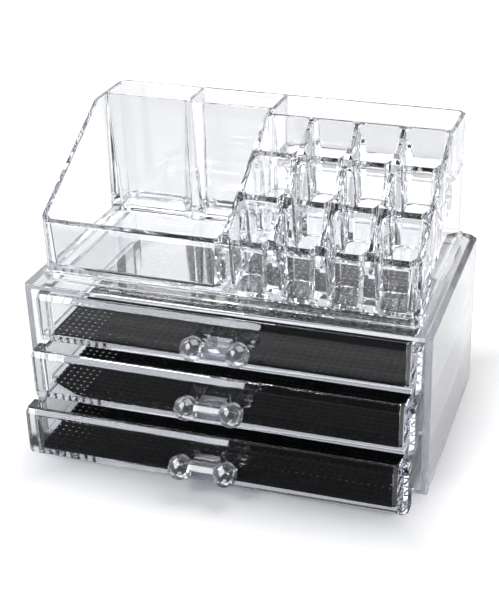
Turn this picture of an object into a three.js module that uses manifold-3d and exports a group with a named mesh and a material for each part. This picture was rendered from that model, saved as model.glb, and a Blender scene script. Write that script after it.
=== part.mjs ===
// Clear acrylic make-up organizer: an open-front cabinet with three drawers, and a sloped
// compartment tray that stands on its deck.
//
// Frame: millimetres, +X to the right seen from the front, the front towards -Y, +Z up.
// The origin is on the underside of the cabinet, at its middle.
//
// Pieces: the cabinet, and for each of the three drawers the drawer box, its dumbbell handle
// and the net mat on its floor, and the tray.

import * as THREE from 'three';
import { mergeVertices } from 'three/addons/utils/BufferGeometryUtils.js';
import Module from 'manifold-3d';

const wasm = await Module();
wasm.setup();

// Driving dimensions

// Cabinet
const cabinetWidth = 238;
const cabinetDepth = 137;
const cabinetHeight = 100;
const cabinetSideWall = 4.2;
const cabinetBackWall = 3;
const cabinetTopPanel = 3;
const cabinetFloorPanel = 3;
const cabinetCornerChamfer = 5.3;
const cabinetFrontEdgeChamfer = 1.1;

// Running and resting clearances
const restGap = 0.3;
const drawerSideGap = 1.4;
const drawerFrontGap = 0.7;
const drawerTopGap = 2.9;
const drawerBackStopGap = 1;
const cutOverrun = 5;

// Drawers
const drawerCount = 3;
const drawerFrontWall = 3.4;
const drawerFrontBlockDepth = 11;
const drawerFrontCornerChamfer = 2.6;
const drawerFrontBevelDepth = 1.7;
const drawerFrontBevelHeight = 3.9;
const drawerBodyInset = 3.7;
const drawerBodyDrop = 2.3;
const drawerSideWall = 2.5;
const drawerBackWall = 2.5;
const drawerFloor = 2.4;
const drawerInnerChamfer = 2.5;
const drawerDraft = 0.5;

// How far each drawer is pulled out, from the bottom one up
const drawerPulledOut = [25.7, 13, 0];

// Runner ledges inside the cabinet's side walls
const runnerThickness = 2.2;
const runnerOverlap = 2.6;

// Handle: a bar with a cut bead at each end, on a pedestal
const handleSides = 8;
const handleBeadRadius = 7.5;
const handleBeadSpacing = 26.3;
const handleBarRadius = 4.6;
const handleStandOff = 10;
const pedestalWidth = 14.4;
const pedestalTopWidth = 13;
const pedestalHeight = 7.6;

// A bead's corners lie on rings round the bar's axis, each ring turned half a side against the
// next. At these shares of the bead's radius its belly has diamonds with kites between them.
const beadBellyShare = 0.3;
const beadEndShare = 0.733;
const beadEndRadiusShare = 0.642;

// Net mat
const matThickness = 0.9;
const matSideGap = 0.8;
const matColumns = 10;
const matRows = 10;
const matCutRows = 2;
const matStrand = 3.4;
const matBorder = 4;
const matCutWidth = 20;
const matCutLength = 10;
const matScallops = 30;
const matScallopDepth = 1.6;

// Tray
const trayWidth = 219.2;
const trayDepth = 120;
const trayHeight = 82;
const trayFrontHeight = 35.8;
const trayTopLength = 38.2;
const traySlopeLead = 1.4;
const trayWall = 2.5;
const trayDivider = 2.4;
const trayCornerChamfer = 4;
const trayFloorRise = 6.5;
const trayFloor = 2.4;
const trayPlinthLip = 1.6;
const trayPlinthHeight = 5.3;
const trayMiddleWallX = -0.7;
const trayRearCompartmentLength = 24.2;
const trayUndersideChamfer = 2.2;

// Tray compartments: corners that are nearly square at the rim and cut wider at the floor
const compartmentRimChamfer = 1;
const compartmentFloorChamfer = 4.5;
const compartmentFloorBevel = 2.4;
const compartmentDraft = 0.6;

// Lipstick cells, and the step from the floor of one row to the next
const cellColumns = 4;
const cellRows = 3;
const cellStepRise = 14.85;
const cellChamfer = 2.8;
const cellDraft = 2.4;

const clearAcrylic = { color: 0xe8ecf2, roughness: 0.05, metalness: 0 };
const blackNet = { color: 0x17181b, roughness: 0.75, metalness: 0 };

// Helpers

// A closed solid through outlines with the same number of points, listed from the lowest up.
// Each level is an outline and its height.
function loft(levels) {
  const positions = [];
  const put = (point, z) => positions.push(point[0], point[1], z);
  for (let level = 1; level < levels.length; level += 1) {
    const [lower, lowerZ] = levels[level - 1];
    const [upper, upperZ] = levels[level];
    for (let i = 0; i < lower.length; i += 1) {
      const next = (i + 1) % lower.length;
      put(lower[i], lowerZ);
      put(lower[next], lowerZ);
      put(upper[next], upperZ);
      put(lower[i], lowerZ);
      put(upper[next], upperZ);
      put(upper[i], upperZ);
    }
  }
  const capTriangles = (outline) =>
    THREE.ShapeUtils.triangulateShape(outline.map(([x, y]) => new THREE.Vector2(x, y)), []);
  const [bottomOutline, bottomZ] = levels[0];
  const [topOutline, topZ] = levels[levels.length - 1];
  for (const [a, b, c] of capTriangles(topOutline)) {
    put(topOutline[a], topZ);
    put(topOutline[b], topZ);
    put(topOutline[c], topZ);
  }
  for (const [a, b, c] of capTriangles(bottomOutline)) {
    put(bottomOutline[c], bottomZ);
    put(bottomOutline[b], bottomZ);
    put(bottomOutline[a], bottomZ);
  }
  const geometry = new THREE.BufferGeometry();
  geometry.setAttribute('position', new THREE.Float32BufferAttribute(positions, 3));
  return geometry;
}

// How much of an inset comes off a 45 degree chamfer, when its outline moves in by that inset.
const chamferInsetShare = 2 - Math.SQRT2;

// A straight prism over one outline.
function prism(outline, bottomZ, topZ) {
  return loft([[outline, bottomZ], [outline, topZ]]);
}

// A rectangle's outline, counter-clockwise, with a chamfer at each corner.
// The chamfers are given in the order front left, front right, back right, back left.
function rectangle(left, right, front, back, chamfers = 0) {
  const [frontLeft, frontRight, backRight, backLeft] =
    Array.isArray(chamfers) ? chamfers : [chamfers, chamfers, chamfers, chamfers];
  const corners = [
    { x: left, y: front, cut: frontLeft, from: [0, 1], to: [1, 0] },
    { x: right, y: front, cut: frontRight, from: [-1, 0], to: [0, 1] },
    { x: right, y: back, cut: backRight, from: [0, -1], to: [-1, 0] },
    { x: left, y: back, cut: backLeft, from: [1, 0], to: [0, -1] },
  ];
  const outline = [];
  for (const { x, y, cut, from, to } of corners) {
    if (cut > 0) {
      outline.push([x + from[0] * cut, y + from[1] * cut]);
      outline.push([x + to[0] * cut, y + to[1] * cut]);
    } else {
      outline.push([x, y]);
    }
  }
  return outline;
}

// A pocket that narrows downwards by a draft on each side, for cutting from above.
function pocket(left, right, front, back, bottomZ, topZ, chamfer, draft) {
  const top = rectangle(left, right, front, back, chamfer);
  const bottom = rectangle(left + draft, right - draft, front + draft, back - draft, chamfer);
  return loft([[bottom, bottomZ], [top, topZ]]);
}

// The inside of a tray compartment, for cutting from above, with a bevel round its floor.
function compartment(left, right, front, back, floorZ, topZ) {
  const outline = (inset, chamfer) =>
    rectangle(left + inset, right - inset, front + inset, back - inset, chamfer);
  const floorInset = compartmentDraft + compartmentFloorBevel;
  const floorChamfer = compartmentFloorChamfer - compartmentFloorBevel * chamferInsetShare;
  return loft([
    [outline(floorInset, floorChamfer), floorZ],
    [outline(compartmentDraft, compartmentFloorChamfer), floorZ + compartmentFloorBevel],
    [outline(0, compartmentRimChamfer), topZ],
  ]);
}

// A bar along X, as long on each side of the middle, from a profile seen from the right:
// the profile's first coordinate becomes Y and its second becomes Z.
function barAlongX(profile, halfLength) {
  const bar = new THREE.ExtrudeGeometry(profile, { depth: 2 * halfLength, bevelEnabled: false });
  bar.rotateX(Math.PI / 2);
  bar.rotateZ(Math.PI / 2);
  bar.translate(-halfLength, 0, 0);
  return bar;
}

function toManifold(geometry) {
  const bare = geometry.index ? geometry.toNonIndexed() : geometry.clone();
  bare.deleteAttribute('normal');
  bare.deleteAttribute('uv');
  const merged = mergeVertices(bare);
  return new wasm.Manifold(new wasm.Mesh({
    numProp: 3,
    vertProperties: new Float32Array(merged.attributes.position.array),
    triVerts: new Uint32Array(merged.index.array),
  }));
}

function toGeometry(solid) {
  const mesh = solid.getMesh();
  const geometry = new THREE.BufferGeometry();
  geometry.setAttribute('position', new THREE.Float32BufferAttribute(mesh.vertProperties, 3));
  geometry.setIndex(new THREE.Uint32BufferAttribute(mesh.triVerts, 1));
  geometry.computeVertexNormals();
  return geometry;
}

function joinAll(geometries) {
  return geometries.map(toManifold).reduce((whole, piece) => whole.add(piece));
}

function cutAll(solid, geometries) {
  return geometries.map(toManifold).reduce((whole, cutter) => whole.subtract(cutter), solid);
}

function namedMesh(name, geometry, finish) {
  const material = new THREE.MeshStandardMaterial({ ...finish, flatShading: true });
  const mesh = new THREE.Mesh(geometry, material);
  mesh.name = name;
  return mesh;
}

// Places that several pieces share

const cabinetFront = -cabinetDepth / 2;
const cabinetBack = cabinetDepth / 2;
const cabinetInnerHalfWidth = cabinetWidth / 2 - cabinetSideWall;
const cabinetInnerBack = cabinetBack - cabinetBackWall;
const cabinetInnerTop = cabinetHeight - cabinetTopPanel;

// The drawers share the height of the opening, with a gap above the highest one.
const lowestDrawerBottom = cabinetFloorPanel + restGap;
const drawerRoom = cabinetInnerTop - drawerTopGap - lowestDrawerBottom;
const drawerPitch = (drawerRoom + drawerFrontGap) / drawerCount;
const drawerFrontHeight = drawerPitch - drawerFrontGap;
const drawerBottomZ = (level) => lowestDrawerBottom + level * drawerPitch;

const drawerFrontHalfWidth = cabinetInnerHalfWidth - drawerSideGap;
const drawerBodyHalfWidth = drawerFrontHalfWidth - drawerBodyInset;
const drawerInnerHalfWidth = drawerBodyHalfWidth - drawerSideWall;
const drawerLength = cabinetInnerBack - drawerBackStopGap - cabinetFront;
const drawerInnerBack = drawerLength - drawerBackWall;

// The cabinet: one moulded shell, open at the front, with runner ledges on its side walls.
function buildCabinet() {
  const front = cabinetFrontEdgeChamfer;
  const back = cabinetCornerChamfer;
  const halfWidth = cabinetWidth / 2;
  const outer = prism(
    rectangle(-halfWidth, halfWidth, cabinetFront, cabinetBack, [front, front, back, back]),
    0,
    cabinetHeight,
  );
  const innerBackChamfer = cabinetCornerChamfer - cabinetBackWall / 2;
  const cavity = prism(
    rectangle(
      -cabinetInnerHalfWidth,
      cabinetInnerHalfWidth,
      cabinetFront - cutOverrun,
      cabinetInnerBack,
      [0, 0, innerBackChamfer, innerBackChamfer],
    ),
    cabinetFloorPanel,
    cabinetInnerTop,
  );
  let shell = cutAll(toManifold(outer), [cavity]);

  // A ledge under each side of every drawer but the lowest, which slides on the floor panel.
  // The ledges start behind the drawers' front blocks and run into the back wall.
  const ledgeInner = drawerBodyHalfWidth - runnerOverlap;
  const ledgeOuter = cabinetInnerHalfWidth + cabinetSideWall / 2;
  const ledgeFront = cabinetFront + drawerFrontBlockDepth + drawerBackStopGap;
  const ledgeBack = cabinetInnerBack + cabinetBackWall / 2;
  for (let level = 1; level < drawerCount; level += 1) {
    const ledgeTop = drawerBottomZ(level) - restGap;
    const rightLedge = prism(
      rectangle(ledgeInner, ledgeOuter, ledgeFront, ledgeBack, [0, 0, cabinetCornerChamfer, 0]),
      ledgeTop - runnerThickness,
      ledgeTop,
    );
    const leftLedge = prism(
      rectangle(-ledgeOuter, -ledgeInner, ledgeFront, ledgeBack, [0, 0, 0, cabinetCornerChamfer]),
      ledgeTop - runnerThickness,
      ledgeTop,
    );
    shell = shell.add(toManifold(rightLedge)).add(toManifold(leftLedge));
  }
  return namedMesh('cabinet_shell', toGeometry(shell), clearAcrylic);
}

// A drawer box. Its front block is wider and a little higher than the body behind it, so that
// it fills the cabinet's opening while the body runs on the ledges. A steep bevel leads round
// the top of the block. Local Y is measured back from the front face, and local Z up from the
// underside.
function buildDrawer(name) {
  const blockOutline = (inset) => {
    const cut = drawerFrontCornerChamfer - inset * chamferInsetShare;
    const halfWidth = drawerFrontHalfWidth - inset;
    return rectangle(-halfWidth, halfWidth, inset, drawerFrontBlockDepth, [cut, cut, 0, 0]);
  };
  const block = loft([
    [blockOutline(0), 0],
    [blockOutline(0), drawerFrontHeight - drawerFrontBevelHeight],
    [blockOutline(drawerFrontBevelDepth), drawerFrontHeight],
  ]);
  const body = prism(
    rectangle(
      -drawerBodyHalfWidth,
      drawerBodyHalfWidth,
      drawerFrontBlockDepth / 2,
      drawerLength,
      [0, 0, drawerInnerChamfer, drawerInnerChamfer],
    ),
    0,
    drawerFrontHeight - drawerBodyDrop,
  );
  const inside = pocket(
    -drawerInnerHalfWidth,
    drawerInnerHalfWidth,
    drawerFrontWall,
    drawerInnerBack,
    drawerFloor,
    drawerFrontHeight + cutOverrun,
    drawerInnerChamfer,
    drawerDraft,
  );

  const solid = cutAll(joinAll([block, body]), [inside]);
  return namedMesh(name, toGeometry(solid), clearAcrylic);
}

// The dumbbell handle: two cut beads on an eight-sided bar, on its pedestal. The drawer's front
// face is at local Y zero, and the bar's axis lies along X at local Z zero.
function buildHandle(name) {
  const halfSide = Math.PI / handleSides;
  const ring = (radius, turn) =>
    Array.from({ length: handleSides }, (_, corner) => [
      radius * Math.cos(turn + 2 * corner * halfSide) - handleStandOff,
      radius * Math.sin(turn + 2 * corner * halfSide),
    ]);
  const beadRings = [
    [0, ring(handleBeadRadius, halfSide)],
    [beadBellyShare, ring(handleBeadRadius * Math.cos(halfSide), 0)],
    [beadEndShare, ring(handleBeadRadius * beadEndRadiusShare, halfSide)],
  ];
  const bead = (centre) => wasm.Manifold.hull(beadRings.flatMap(([along, corners]) =>
    corners.flatMap(([y, z]) => [
      [centre + along * handleBeadRadius, y, z],
      [centre - along * handleBeadRadius, y, z],
    ])));
  const barProfile = new THREE.Shape(
    ring(handleBarRadius, halfSide).map(([y, z]) => new THREE.Vector2(y, z)),
  );

  const halfHeight = pedestalHeight / 2;
  const halfFace = pedestalWidth / 2;
  const halfBar = pedestalTopWidth / 2;
  const pedestal = prism(
    [
      [-halfFace, 0],
      [-halfBar, -handleStandOff],
      [halfBar, -handleStandOff],
      [halfFace, 0],
    ],
    -halfHeight,
    halfHeight,
  );
  const solid = joinAll([barAlongX(barProfile, handleBeadSpacing / 2), pedestal])
    .add(bead(-handleBeadSpacing / 2))
    .add(bead(handleBeadSpacing / 2));
  return namedMesh(name, toGeometry(solid), clearAcrylic);
}

// The net mat that lies on a drawer's floor, with staggered diamond holes between its strands.
// Its left edge is straight, cut off at the front corner, or scalloped along its length.
function buildMat(name, leftEdge) {
  const halfWidth = drawerInnerHalfWidth - drawerDraft - matSideGap;
  const front = drawerFrontWall + drawerDraft + matSideGap;
  const back = drawerInnerBack - drawerDraft - matSideGap;
  const cut = drawerInnerChamfer;
  const outline = rectangle(-halfWidth, halfWidth, front, back, [0, cut, cut, cut]).slice(1);
  if (leftEdge === 'scalloped') {
    const scallopLength = (back - cut - front - cut) / matScallops;
    for (let scallop = 0; scallop < matScallops; scallop += 1) {
      const y = back - cut - scallop * scallopLength;
      outline.push([-halfWidth + matScallopDepth, y - scallopLength / 2]);
      outline.push([-halfWidth, y - scallopLength]);
    }
    outline.push([-halfWidth + cut, front]);
  } else if (leftEdge === 'cut') {
    outline.push([-halfWidth, front + matCutLength]);
    outline.push([-halfWidth + matCutWidth, front]);
  } else {
    outline.push([-halfWidth, front + cut]);
    outline.push([-halfWidth + cut, front]);
  }
  const sheet = prism(outline, 0, matThickness);

  const pitchX = (2 * (halfWidth - matBorder) + matStrand) / matColumns;
  const pitchY = (back - front - 2 * matBorder + matStrand) / (matRows + 1);
  const holeHalfWidth = (pitchX - matStrand) / 2;
  const holeHalfLength = pitchY - matStrand / 2;
  const holes = [];
  for (let row = 0; row < matRows; row += 1) {
    const staggered = row % 2;
    for (let column = 0; column < matColumns - staggered; column += 1) {
      const x = -halfWidth + matBorder + holeHalfWidth + (column + staggered / 2) * pitchX;
      const y = front + matBorder + holeHalfLength + row * pitchY;
      const cutCorner = leftEdge === 'cut' && column === 0 && row < matCutRows;
      if (!cutCorner) {
        holes.push(prism(
          [
            [x, y - holeHalfLength],
            [x + holeHalfWidth, y],
            [x, y + holeHalfLength],
            [x - holeHalfWidth, y],
          ],
          -cutOverrun,
          matThickness + cutOverrun,
        ));
      }
    }
  }
  return namedMesh(name, toGeometry(cutAll(toManifold(sheet), holes)), blackNet);
}

// The tray: one moulded piece. Its left half has an open front compartment and two tall rear
// ones. Its right half climbs in steps that follow the sloped top: three rows of eight-sided
// lipstick cells and a wide rear compartment. It is hollow underneath.
function buildTray() {
  const halfWidth = trayWidth / 2;
  const front = -trayDepth / 2;
  const back = trayDepth / 2;
  const lastRowWall = back - trayTopLength;
  const slopeEnd = lastRowWall - traySlopeLead;
  const slope = (trayHeight - trayFrontHeight) / (slopeEnd - front);
  const cutTop = trayHeight + cutOverrun;
  const walls = prism(
    rectangle(-halfWidth, halfWidth, front, back, trayCornerChamfer),
    0,
    trayHeight,
  );
  const plinth = prism(
    rectangle(
      -halfWidth - trayPlinthLip,
      halfWidth + trayPlinthLip,
      front - trayPlinthLip,
      back + trayPlinthLip,
      trayCornerChamfer,
    ),
    0,
    trayPlinthHeight,
  );

  // Everything above the slope comes off: a wedge seen from the side, wider than the tray.
  const wedgeProfile = new THREE.Shape([
    new THREE.Vector2(front - cutOverrun, trayFrontHeight - cutOverrun * slope),
    new THREE.Vector2(slopeEnd, trayHeight),
    new THREE.Vector2(slopeEnd, cutTop),
    new THREE.Vector2(front - cutOverrun, cutTop),
  ]);
  const cuts = [barAlongX(wedgeProfile, halfWidth + cutOverrun)];

  const innerLeft = -halfWidth + trayWall;
  const innerRight = halfWidth - trayWall;
  const innerFront = front + trayWall;
  const innerBack = back - trayWall;
  const middleLeft = trayMiddleWallX - trayDivider / 2;
  const middleRight = trayMiddleWallX + trayDivider / 2;

  // Left half: the open front compartment, then two rear compartments side by side.
  const rearFront = innerBack - trayRearCompartmentLength;
  const rearSplit = (innerLeft + middleLeft) / 2;
  const leftCompartments = [
    [innerLeft, middleLeft, innerFront, rearFront - trayDivider],
    [innerLeft, rearSplit - trayDivider / 2, rearFront, innerBack],
    [rearSplit + trayDivider / 2, middleLeft, rearFront, innerBack],
  ];
  for (const sides of leftCompartments) {
    cuts.push(compartment(...sides, trayFloorRise, cutTop));
  }

  // Right half: the rows of cells, each floor one step higher than the row in front of it,
  // and behind them the wide compartment. Each row wall's front face is one pitch behind the
  // last, and the highest one stands just behind the end of the slope.
  const cellPitchX = (innerRight + trayDivider - middleRight) / cellColumns;
  const cellPitchY = (lastRowWall - front) / cellRows;
  for (let row = 0; row < cellRows; row += 1) {
    const rowWall = front + row * cellPitchY;
    const rimHeight = trayFrontHeight + (row + 1) * cellPitchY * slope;
    for (let column = 0; column < cellColumns; column += 1) {
      const cellLeft = middleRight + column * cellPitchX;
      cuts.push(pocket(
        cellLeft,
        cellLeft + cellPitchX - trayDivider,
        rowWall + (row === 0 ? trayWall : trayDivider),
        rowWall + cellPitchY,
        trayFloorRise + row * cellStepRise,
        rimHeight + cutOverrun,
        cellChamfer,
        cellDraft,
      ));
    }
  }
  cuts.push(compartment(
    middleRight,
    innerRight,
    lastRowWall + trayDivider,
    innerBack,
    trayFloorRise + cellRows * cellStepRise,
    cutTop,
  ));

  // The hollow underneath: shallow below the lowest floors, and deeper behind each step.
  cuts.push(prism(
    rectangle(innerLeft, innerRight, innerFront, innerBack, trayUndersideChamfer),
    -cutOverrun,
    trayFloorRise - trayFloor,
  ));
  for (let row = 1; row <= cellRows; row += 1) {
    const riserBack = front + row * cellPitchY + trayDivider;
    cuts.push(prism(
      rectangle(middleRight, innerRight, riserBack, innerBack),
      -cutOverrun,
      trayFloorRise + row * cellStepRise - trayFloor,
    ));
  }
  const solid = cutAll(joinAll([walls, plinth]), cuts);
  return namedMesh('cosmetic_tray', toGeometry(solid), clearAcrylic);
}

// Assembly

const group = new THREE.Group();
group.add(buildCabinet());

const levelNames = ['bottom', 'middle', 'top'];
const matLeftEdges = ['scalloped', 'cut', 'straight'];
for (let level = 0; level < drawerCount; level += 1) {
  const levelName = levelNames[level];
  const drawerGroup = new THREE.Group();
  drawerGroup.position.set(0, cabinetFront - drawerPulledOut[level], drawerBottomZ(level));

  drawerGroup.add(buildDrawer(`drawer_${levelName}`));

  const handle = buildHandle(`handle_${levelName}`);
  handle.position.set(0, 0, drawerFrontHeight / 2);
  drawerGroup.add(handle);

  const mat = buildMat(`mat_${levelName}`, matLeftEdges[level]);
  mat.position.set(0, 0, drawerFloor + restGap);
  drawerGroup.add(mat);
  group.add(drawerGroup);
}

const tray = buildTray();
tray.position.set(0, 0, cabinetHeight + restGap);
group.add(tray);

export default group;
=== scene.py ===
# A clear makeup organizer on a white table: a cabinet of three shallow drawers with dumbbell
# handles and black net mats, and a sloped tray of compartments and lipstick cells on its deck.

import math

import bmesh
import bpy
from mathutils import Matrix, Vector


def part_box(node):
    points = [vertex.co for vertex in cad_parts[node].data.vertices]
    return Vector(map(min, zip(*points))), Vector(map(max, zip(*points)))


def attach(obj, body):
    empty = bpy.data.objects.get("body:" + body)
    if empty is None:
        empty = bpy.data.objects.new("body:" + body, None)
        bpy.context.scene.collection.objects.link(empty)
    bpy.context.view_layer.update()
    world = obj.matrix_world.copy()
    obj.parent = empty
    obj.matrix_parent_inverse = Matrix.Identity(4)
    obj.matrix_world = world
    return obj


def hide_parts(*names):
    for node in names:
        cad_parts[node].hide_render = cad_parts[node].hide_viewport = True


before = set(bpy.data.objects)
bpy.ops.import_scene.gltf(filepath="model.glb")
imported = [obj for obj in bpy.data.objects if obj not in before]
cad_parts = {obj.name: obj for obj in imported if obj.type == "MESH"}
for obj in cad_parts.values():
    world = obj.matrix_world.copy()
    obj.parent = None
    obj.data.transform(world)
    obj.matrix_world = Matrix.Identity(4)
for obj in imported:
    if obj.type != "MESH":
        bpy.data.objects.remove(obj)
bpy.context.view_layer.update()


# The studio: a white table that keeps the organizer's shadow and carries painted shade round and
# under it, a white backdrop, and a dimmer room on the camera's side, which is what gives clear
# edges their dark lines.

MM = 0.001
white = (1.0, 1.0, 1.0, 1.0)


class Value:
    """One output of a node tree, on which sums can be written."""

    def __init__(self, nodes, output):
        self.nodes = nodes
        self.output = output

    def math(self, operation, *others):
        sockets = dict(enumerate((self,) + others))
        return self.nodes.node("ShaderNodeMath", "Value", {"operation": operation}, sockets)

    def __add__(self, other):
        return self.math("ADD", other)

    def __sub__(self, other):
        return self.math("SUBTRACT", other)

    def __mul__(self, other):
        return self.math("MULTIPLY", other)

    def __truediv__(self, other):
        return self.math("DIVIDE", other)

    __radd__ = __add__
    __rmul__ = __mul__

    def __rsub__(self, other):
        return self.math("MULTIPLY_ADD", -1.0, other)

    def over(self, low, high):
        """0 below low, 1 above high, and an even ramp between them."""
        ends = {"From Min": low, "From Max": high, "Value": self}
        return self.nodes.node("ShaderNodeMapRange", "Result", {"clamp": True}, ends)


class Nodes:
    """A node tree being put together. node() adds a node and gives back one of its outputs."""

    def __init__(self, owner):
        if hasattr(owner, "use_nodes"):
            owner.use_nodes = True
            self.tree = owner.node_tree
        else:
            self.tree = owner
        self.owner = owner
        self.tree.nodes.clear()

    def node(self, kind, output, settings=None, sockets=None):
        added = self.tree.nodes.new(kind)
        for key, value in (settings or {}).items():
            setattr(added, key, value)
        for key, value in (sockets or {}).items():
            if isinstance(value, Value):
                self.tree.links.new(value.output, added.inputs[key])
            else:
                added.inputs[key].default_value = value
        return Value(self, added.outputs[output]) if output is not None else added


camera_place = (0.2256, -0.6327, 0.4230)
camera_azimuth = math.radians(15.825)
camera_elevation = math.radians(26.063)
camera_data = bpy.data.cameras.new("camera")
camera_data.lens = 75.22
camera_data.sensor_width = 36.0
camera_data.shift_x = -0.1425
camera_data.shift_y = -0.0583
camera = bpy.data.objects.new("camera", camera_data)
camera.location = camera_place
camera.rotation_euler = (math.pi / 2 - camera_elevation, 0.0, camera_azimuth)
bpy.context.scene.collection.objects.link(camera)
bpy.context.scene.camera = camera

clear_bounces = 64
bpy.context.scene.view_settings.view_transform = "Standard"
bpy.context.scene.cycles.max_bounces = clear_bounces
bpy.context.scene.cycles.transmission_bounces = clear_bounces
bpy.context.scene.cycles.glossy_bounces = clear_bounces
bpy.context.scene.cycles.transparent_max_bounces = 48

# Round the table, the clear plastic mirrors a dim room, a bright backdrop and a dim ceiling.
# The camera itself sees plain white. The edges are ramps along a direction's Y and Z.
room_level = 0.05
ceiling_level = 0.03
backdrop_level = 0.75
backdrop_edge = (-0.1, 0.2)
ceiling_edge = (0.6, 0.75)
studio = bpy.data.worlds.new("studio")
bpy.context.scene.world = studio
world = Nodes(studio)
direction = world.node("ShaderNodeTexCoord", "Generated")
depth, height = (
    world.node("ShaderNodeSeparateXYZ", axis, {}, {"Vector": direction}) for axis in "YZ"
)
backdrop = depth.over(*backdrop_edge)
ceiling = height.over(*ceiling_edge) * (1.0 - ceiling_level)
lit = backdrop * backdrop_level * (1.0 - ceiling) + room_level
seen = world.node("ShaderNodeLightPath", "Is Camera Ray")
strength = lit * (1.0 - seen) + seen
background = world.node(
    "ShaderNodeBackground", "Background", {}, {"Color": white, "Strength": strength}
)
world.node("ShaderNodeOutputWorld", None, {}, {"Surface": background})

# The table's glow grows outwards from the organizer, so that the lamps' shadow stays; its rise
# from nothing at the organizer's edge is a painted shadow. The clear plastic mirrors and lets
# through the same table with painted shade: black under the organizer, dark in a strip in front
# of it and dim beyond the strip. Rays that have passed more walls see less of the glow, up to a
# number of walls, which is painted dimming.
table_reach = 1.6
table_drop = 0.2 * MM
under_left = -0.085
under_right = 0.103
under_front = -0.094
under_back = 0.067
painted_shade_under_edge = 0.01
shadow_reach = 0.06
far_glow = 0.6
edge_glow = 0.4
edge_glow_reach = (0.3, 0.9)
strip_front = (-0.200, -0.175)
strip_back = (-0.070, -0.065)
strip_level = 0.08
beyond_level = 0.3
beyond_last_ray = (3.1, 3.9)
painted_wall_dimming_share = 0.5
dimming_rays = 5.0
dimming_last_ray = (5.1, 5.9)
# The colour of the painted shade that the plastic mirrors and lets through.
shade = (0.03, 0.03, 0.03, 1.0)
table_mesh = bpy.data.meshes.new("table")
table_corners = [(-1, -1), (1, -1), (1, 1), (-1, 1)]
table_mesh.from_pydata(
    [(x * table_reach, y * table_reach, -table_drop) for x, y in table_corners],
    [],
    [(0, 1, 2, 3)],
)
table = bpy.data.objects.new("table", table_mesh)
bpy.context.scene.collection.objects.link(table)
table_finish = Nodes(bpy.data.materials.new("white_table"))
camera_ray, transmission_ray, glossy_ray, ray_depth = (
    table_finish.node("ShaderNodeLightPath", name)
    for name in ("Is Camera Ray", "Is Transmission Ray", "Is Glossy Ray", "Ray Depth")
)
table_place = table_finish.node("ShaderNodeTexCoord", "Object")
table_x, table_y = (
    table_finish.node("ShaderNodeSeparateXYZ", axis, {}, {"Vector": table_place})
    for axis in "XY"
)
past_side = (under_left - table_x).math("MAXIMUM", table_x - under_right)
past_end = (under_front - table_y).math("MAXIMUM", table_y - under_back)
distance = past_side.math("MAXIMUM", past_end)
# Painted shade: the table is black under the organizer in what the plastic mirrors and lets
# through.
painted_shade_under = 1.0 - distance.over(0.0, painted_shade_under_edge)
# Painted shadow: the glow is nothing at the organizer's edge and grows over shadow_reach.
glow_with_painted_shadow = distance.over(0.0, shadow_reach) * far_glow
glow_with_painted_shadow = glow_with_painted_shadow + camera_ray * distance.over(*edge_glow_reach) * edge_glow
# Painted shade: a dark strip in front of the organizer and a dim table beyond it, in what the
# plastic mirrors and lets through.
near = table_y.over(*strip_front)
painted_dark_strip = near * (1.0 - table_y.over(*strip_back)) * (1.0 - strip_level)
painted_dim_beyond = (1.0 - near) * (1.0 - ray_depth.over(*beyond_last_ray)) * (1.0 - beyond_level)
# Painted dimming: the table's glow seen through more walls is lower, painted on the table.
walls = ray_depth.over(0.0, dimming_rays) * (1.0 - ray_depth.over(*dimming_last_ray))
painted_wall_dimming = transmission_ray * walls * painted_wall_dimming_share
shaded = painted_shade_under.math("MAXIMUM", painted_dark_strip).math("MAXIMUM", painted_dim_beyond) * (1.0 - camera_ray)
shown = camera_ray.math("MAXIMUM", transmission_ray).math("MAXIMUM", glossy_ray)
table_surface = table_finish.node(
    "ShaderNodeBsdfPrincipled",
    "BSDF",
    {},
    {
        "Base Color": (0.9, 0.9, 0.905, 1.0),
        "Roughness": 0.6,
        "Emission Color": shown * (glow_with_painted_shadow - painted_wall_dimming).math("MAXIMUM", 0.0),
        "Emission Strength": 1.0,
    },
)
table_shade = table_finish.node("ShaderNodeBsdfDiffuse", "BSDF", {}, {"Color": shade})
table_mixed = table_finish.node(
    "ShaderNodeMixShader", "Shader", {}, {0: shaded, 1: table_surface, 2: table_shade}
)
table_finish.node("ShaderNodeOutputMaterial", None, {}, {"Surface": table_mixed})
table_mesh.materials.append(table_finish.owner)


def soft_lamp(name, place, aim, size, watts, shape="RECTANGLE", colour=(1.0, 1.0, 1.0)):
    """A flat studio lamp at place that faces aim. Its size is (width, length)."""
    data = bpy.data.lights.new(name, "AREA")
    data.shape = shape
    data.color = colour
    data.size, data.size_y = size
    data.energy = watts
    lamp = bpy.data.objects.new(name, data)
    lamp.location = place
    facing = Vector(aim) - Vector(place)
    lamp.rotation_euler = facing.to_track_quat("-Z", "Y").to_euler()
    bpy.context.scene.collection.objects.link(lamp)


cool_white = (0.9, 0.93, 1.0)
soft_lamp("top_lamp", (0.25, 0.35, 1.1), (0.0, 0.0, 0.05), (0.7, 0.7), 6.0)
soft_lamp(
    "front_lamp", (-0.72, -1.15, 0.33), (0.0, 0.0, 0.1), (0.76, 0.46), 15.0, colour=cool_white
)
soft_lamp("over_lamp", (-0.43, -0.69, 0.886), (-0.03, -0.1, 0.05), (0.35, 0.35), 3.5)
soft_lamp(
    "back_lamp", (-0.213, 0.35, 0.347), (-0.05, -0.03, 0.107), (0.14, 0.14), 0.12, shape="DISK"
)


# The cabinet: a low shell moulded in clear acrylic, open at the front, with ledges for the
# drawers inside. Its side walls are slightly hazy, and every edge is slightly rounded.

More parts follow.
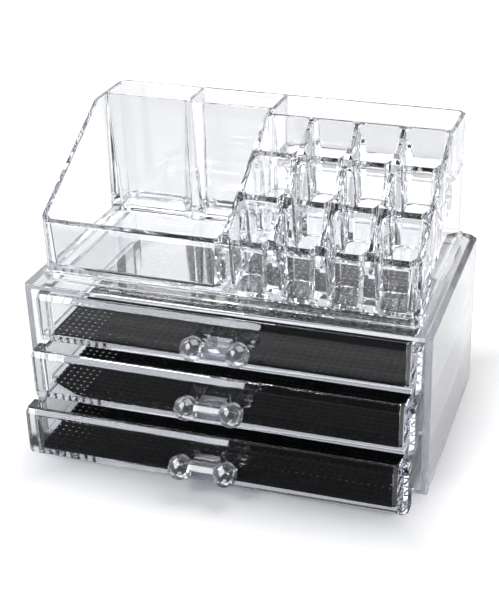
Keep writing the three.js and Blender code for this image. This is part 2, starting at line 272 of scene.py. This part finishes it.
flat_angle = math.radians(0.5)
rounded_angle = math.radians(20.0)
merge_distance = 0.002 * MM
acrylic_tint = (0.985, 0.988, 0.995, 1.0)
acrylic_refraction = 1.49
passing_tint = (0.93, 0.93, 0.94, 1.0)
depth_tint = (0.86, 0.868, 0.885, 1.0)
depth_dimming = 22.0
haze_start = 111.0 * MM
haze_blend = 0.2 * MM
haze_roughness = 0.15
cabinet_rounding = 0.6 * MM
rounding_steps = 3


def clear_acrylic(name, hazy_sides=False):
    """Clear moulded plastic. Light from the lamps passes through it.

    hazy_sides roughens it beyond haze_start, to the left and to the right.
    """
    finish = Nodes(bpy.data.materials.new(name))
    roughness = 0.0
    if hazy_sides:
        place = finish.node("ShaderNodeTexCoord", "Object")
        aside = finish.node("ShaderNodeSeparateXYZ", "X", {}, {"Vector": place}).math("ABSOLUTE")
        roughness = aside.over(haze_start, haze_start + haze_blend) * haze_roughness
    glassy = finish.node(
        "ShaderNodeBsdfPrincipled",
        "BSDF",
        {},
        {
            "Base Color": acrylic_tint,
            "Roughness": roughness,
            "IOR": acrylic_refraction,
            "Transmission Weight": 1.0,
        },
    )
    passing = finish.node("ShaderNodeBsdfTransparent", "BSDF", {}, {"Color": passing_tint})
    shadow = finish.node("ShaderNodeLightPath", "Is Shadow Ray")
    diffuse = finish.node("ShaderNodeLightPath", "Is Diffuse Ray")
    mixed = finish.node(
        "ShaderNodeMixShader",
        "Shader",
        {},
        {0: shadow.math("MAXIMUM", diffuse), 1: glassy, 2: passing},
    )
    dimming = finish.node(
        "ShaderNodeVolumeAbsorption", "Volume", {}, {"Color": depth_tint, "Density": depth_dimming}
    )
    finish.node("ShaderNodeOutputMaterial", None, {}, {"Surface": mixed, "Volume": dimming})
    return finish.owner


def seams_of(form):
    """The edges that lie inside a flat surface."""
    return [edge for edge in form.edges if edge.calc_face_angle(1.0) < flat_angle]


def level_seams(form):
    """Cut each flat surface round its holes along the shortest lines, so that bevels fit."""
    faces = {face for edge in seams_of(form) for face in edge.link_faces}
    bmesh.ops.triangulate(form, faces=list(faces), ngon_method="BEAUTY")
    for edge in sorted(seams_of(form), key=lambda edge: -edge.calc_length()):
        first, second = edge.link_faces
        if len(set(first.verts) & set(second.verts)) == 2:
            bmesh.utils.face_join((first, second))


def moulded(name, node, material, body, rounding, steps):
    """The piece that stands for a solid: the same form with its edges rounded."""
    mesh = bpy.data.meshes.new(name)
    form = bmesh.new()
    form.from_mesh(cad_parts[node].data)
    bmesh.ops.remove_doubles(form, verts=form.verts, dist=merge_distance)
    bmesh.ops.dissolve_limit(
        form, angle_limit=flat_angle, verts=form.verts, edges=form.edges
    )
    level_seams(form)
    form.to_mesh(mesh)
    form.free()
    piece = bpy.data.objects.new(name, mesh)
    bpy.context.scene.collection.objects.link(piece)
    edges = piece.modifiers.new("rounded_edges", "BEVEL")
    edges.width = rounding
    edges.use_clamp_overlap = False
    edges.segments = steps
    edges.limit_method = "ANGLE"
    edges.angle_limit = rounded_angle
    mesh.materials.append(material)
    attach(piece, body)
    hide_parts(node)
    return piece


clear = clear_acrylic("clear_acrylic")
hazy = clear_acrylic("hazy_acrylic", hazy_sides=True)
cabinet = moulded("cabinet", "cabinet_shell", hazy, "cabinet", cabinet_rounding, rounding_steps)


# The drawers: three shallow boxes of clear acrylic without the cabinet's haze, each moulded
# with a thick bevelled front.

drawer_rounding = 0.5 * MM
levels = ("bottom", "middle", "top")
for level in levels:
    drawer = moulded(
        f"{level}_drawer_box",
        f"drawer_{level}",
        clear,
        f"{level}_drawer",
        drawer_rounding,
        rounding_steps,
    )


# The handles: faceted dumbbells, bonded to the drawers' fronts by their pedestals. Their clear
# plastic bends light more than the boxes' does and is slightly milky, which brightens them.

handle_rounding = 0.2 * MM
handle_rounding_steps = 2
handle_finish = Nodes(bpy.data.materials.new("handle_acrylic"))
handle_surface = handle_finish.node(
    "ShaderNodeBsdfPrincipled",
    "BSDF",
    {},
    {
        "Base Color": (0.96, 0.97, 1.0, 1.0),
        "Roughness": 0.02,
        "IOR": 1.7,
        "Transmission Weight": 0.94,
    },
)
handle_finish.node("ShaderNodeOutputMaterial", None, {}, {"Surface": handle_surface})
for level in levels:
    handle = moulded(
        f"{level}_drawer_handle",
        f"handle_{level}",
        handle_finish.owner,
        f"{level}_drawer",
        handle_rounding,
        handle_rounding_steps,
    )


# The mats: black foamed net with small eight-sided holes in a square grid, cut to the drawers'
# floors. Two of them are cut through their first column of holes, and one has a corner cut off.

hole_pitch = 4.15 * MM
hole_sides = 8
hole_share = 0.22
strand_relief = 0.2 * MM
strand_thickness = 0.65 * MM
mat_thickness = strand_thickness + strand_relief
net_gap = 0.01 * MM
net_sizes = (
    "Left",
    "Right",
    "Front",
    "Back",
    "Top",
    "Columns",
    "Rows",
    "First Column",
    "Corner Width",
    "Corner Length",
)


def net_tree():
    """A net built from one tile around each hole. Its inputs are its sizes and its cuts."""
    tree = bpy.data.node_groups.new("net", "GeometryNodeTree")
    nodes = Nodes(tree)
    for size in net_sizes:
        tree.interface.new_socket(size, in_out="INPUT", socket_type="NodeSocketFloat")
    tree.interface.new_socket("Material", in_out="INPUT", socket_type="NodeSocketMaterial")
    tree.interface.new_socket("Geometry", in_out="OUTPUT", socket_type="NodeSocketGeometry")
    group = nodes.node("NodeGroupInput", None)
    left, right, front, back, top, columns, rows, first_column, corner_width, corner_length = (
        Value(nodes, group.outputs[size]) for size in net_sizes
    )

    def vector(x, y, z):
        return nodes.node("ShaderNodeCombineXYZ", "Vector", {}, {0: x, 1: y, 2: z})

    def vectors(operation, first, second):
        return nodes.node(
            "ShaderNodeVectorMath", "Vector", {"operation": operation}, {0: first, 1: second}
        )

    def part_of(position, axis):
        return nodes.node("ShaderNodeSeparateXYZ", axis, {}, {"Vector": position})

    # The tile, one unit wide: a ring from its hole up to its corners, pressed into a square.
    half = 0.5
    ring = nodes.node(
        "GeometryNodeMeshCone",
        "Mesh",
        {"fill_type": "NONE"},
        {
            "Vertices": hole_sides,
            "Radius Top": half * math.sqrt(2.0),
            "Radius Bottom": hole_share,
            "Depth": 1.0,
        },
    )
    place = nodes.node("GeometryNodeInputPosition", "Position")
    square = vectors("MINIMUM", place, vector(half, half, 1.0))
    square = vectors("MAXIMUM", square, vector(-half, -half, 0.0))
    tile = nodes.node(
        "GeometryNodeSetPosition", "Geometry", {}, {"Geometry": ring, "Position": square}
    )
    tile = nodes.node("GeometryNodeFlipFaces", "Mesh", {}, {"Mesh": tile})

    # The tiles stand side by side from the right edge. A first column that is cut through
    # reaches half a tile past the left edge.
    pitch_x = (right - left) / (columns - first_column * half)
    pitch_y = (back - front) / rows
    grid = nodes.node(
        "GeometryNodeMeshGrid",
        "Mesh",
        {},
        {
            "Size X": pitch_x * (columns - 1.0),
            "Size Y": pitch_y * (rows - 1.0),
            "Vertices X": columns,
            "Vertices Y": rows,
        },
    )
    middle = vector(
        right - pitch_x * columns * half,
        (front + back) * half,
        top - strand_relief,
    )
    grid = nodes.node(
        "GeometryNodeTransform", "Geometry", {}, {"Geometry": grid, "Translation": middle}
    )
    net = nodes.node(
        "GeometryNodeInstanceOnPoints",
        "Instances",
        {},
        {"Points": grid, "Instance": tile, "Scale": vector(pitch_x, pitch_y, strand_relief)},
    )
    net = nodes.node("GeometryNodeRealizeInstances", "Geometry", {}, {"Geometry": net})
    net = nodes.node(
        "GeometryNodeMergeByDistance", "Geometry", {}, {"Geometry": net, "Distance": net_gap}
    )
    beyond_left = left - part_of(place, "X")
    net = nodes.node(
        "GeometryNodeDeleteGeometry",
        "Geometry",
        {"domain": "FACE"},
        {"Geometry": net, "Selection": beyond_left.math("GREATER_THAN", 0.0)},
    )

    # What lies beyond the corner's cut is pressed onto the cut, and its flattened faces go.
    into_x = (part_of(place, "X") - left) / corner_width
    into_y = (part_of(place, "Y") - front) / corner_length
    short = (1.0 - into_x - into_y).math("MAXIMUM", 0.0)
    cut_squared = corner_length * corner_length + corner_width * corner_width
    push = short * corner_width * corner_length / cut_squared
    moved = vector(push * corner_length, push * corner_width, 0.0)
    net = nodes.node(
        "GeometryNodeSetPosition", "Geometry", {}, {"Geometry": net, "Offset": moved}
    )
    area = nodes.node("GeometryNodeInputMeshFaceArea", "Area")
    net = nodes.node(
        "GeometryNodeDeleteGeometry",
        "Geometry",
        {"domain": "FACE"},
        {"Geometry": net, "Selection": area.math("LESS_THAN", net_gap * hole_pitch)},
    )
    net = nodes.node(
        "GeometryNodeMergeByDistance", "Geometry", {}, {"Geometry": net, "Distance": net_gap}
    )
    material = Value(nodes, group.outputs["Material"])
    net = nodes.node(
        "GeometryNodeSetMaterial", "Geometry", {}, {"Geometry": net, "Material": material}
    )
    nodes.node("NodeGroupOutput", None, {}, {"Geometry": net})
    return tree


net_finish = Nodes(bpy.data.materials.new("black_net"))
net_surface = net_finish.node(
    "ShaderNodeBsdfPrincipled",
    "BSDF",
    {},
    {"Base Color": (0.004, 0.004, 0.005, 1.0), "Roughness": 0.6, "Specular IOR Level": 0.05},
)
net_finish.node("ShaderNodeOutputMaterial", None, {}, {"Surface": net_surface})
net = net_tree()

# Whether each mat's first column is cut through, and its corner's cut. A cut far smaller than
# a hole leaves the corner whole.
cut_column = 1.0
whole_column = 0.0
cut_corner = (20.0 * MM, 10.0 * MM)
whole_corner = (0.1 * MM, 0.1 * MM)
for level, first_column, corner in (
    ("bottom", cut_column, whole_corner),
    ("middle", cut_column, cut_corner),
    ("top", whole_column, whole_corner),
):
    low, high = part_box(f"mat_{level}")
    inputs = {
        "Left": low.x,
        "Right": high.x,
        "Front": low.y,
        "Back": high.y,
        "Top": low.z + mat_thickness,
        "Columns": float(round((high.x - low.x) / hole_pitch)),
        "Rows": float(round((high.y - low.y) / hole_pitch)),
        "First Column": first_column,
        "Corner Width": corner[0],
        "Corner Length": corner[1],
        "Material": net_finish.owner,
    }
    source = bpy.data.objects.new("net_source", bpy.data.meshes.new("net_source"))
    bpy.context.scene.collection.objects.link(source)
    modifier = source.modifiers.new("net", "NODES")
    modifier.node_group = net
    for item in net.interface.items_tree:
        if item.in_out == "INPUT":
            modifier[item.identifier] = inputs[item.name]
    wall = source.modifiers.new("thickness", "SOLIDIFY")
    wall.thickness = strand_thickness
    wall.offset = -1.0
    evaluated = source.evaluated_get(bpy.context.evaluated_depsgraph_get())
    mesh = bpy.data.meshes.new_from_object(evaluated)
    mesh.name = f"{level}_net_mat"
    mat = bpy.data.objects.new(f"{level}_net_mat", mesh)
    bpy.context.scene.collection.objects.link(mat)
    bpy.data.objects.remove(source)
    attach(mat, f"{level}_drawer")
    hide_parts(f"mat_{level}")


# The tray: one moulded piece of clear acrylic that stands loose on the cabinet, with two tall
# rear compartments, an open front one, and steps of tapered eight-sided cells.

tray_rounding = 0.7 * MM
tray = moulded("tray", "cosmetic_tray", clear, "tray", tray_rounding, rounding_steps)
